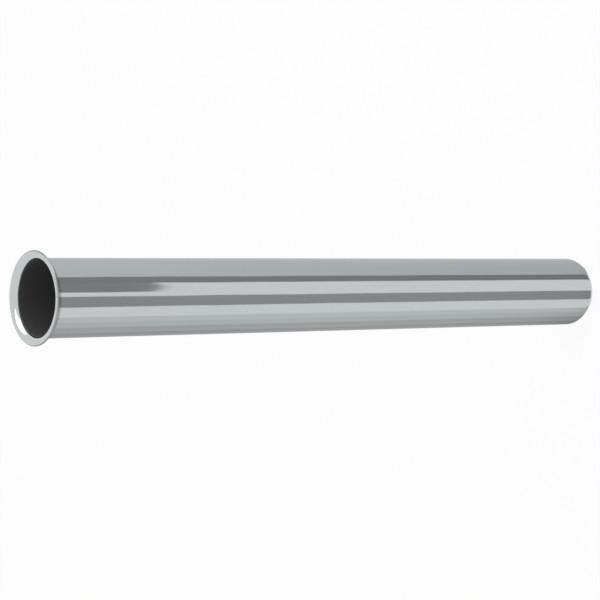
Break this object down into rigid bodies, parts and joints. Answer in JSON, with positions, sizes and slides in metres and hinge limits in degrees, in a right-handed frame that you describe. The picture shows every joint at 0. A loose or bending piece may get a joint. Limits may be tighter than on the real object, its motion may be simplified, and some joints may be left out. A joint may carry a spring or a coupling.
{
  "type": "basin waste tail pipe",
  "caption": "Straight chromed drain tube with a flared flange at one end for a union nut and a plain end, rolled in a little, that pushes into a trap's seal.",
  "frame": {"origin": "middle of the plain end, on the surface that the pipe stands on", "axes": "+Z along the pipe's axis from the plain end to the flange, as installed under a basin"},
  "size_m": [0.038, 0.038, 0.3],
  "materials": {
    "chrome_plate": "bright chromium plate outside, dull grey and unplated in the bore"
  },
  "bodies": {
    "root": {"tail_pipe": "chrome_plate"}
  },
  "joints": []
}
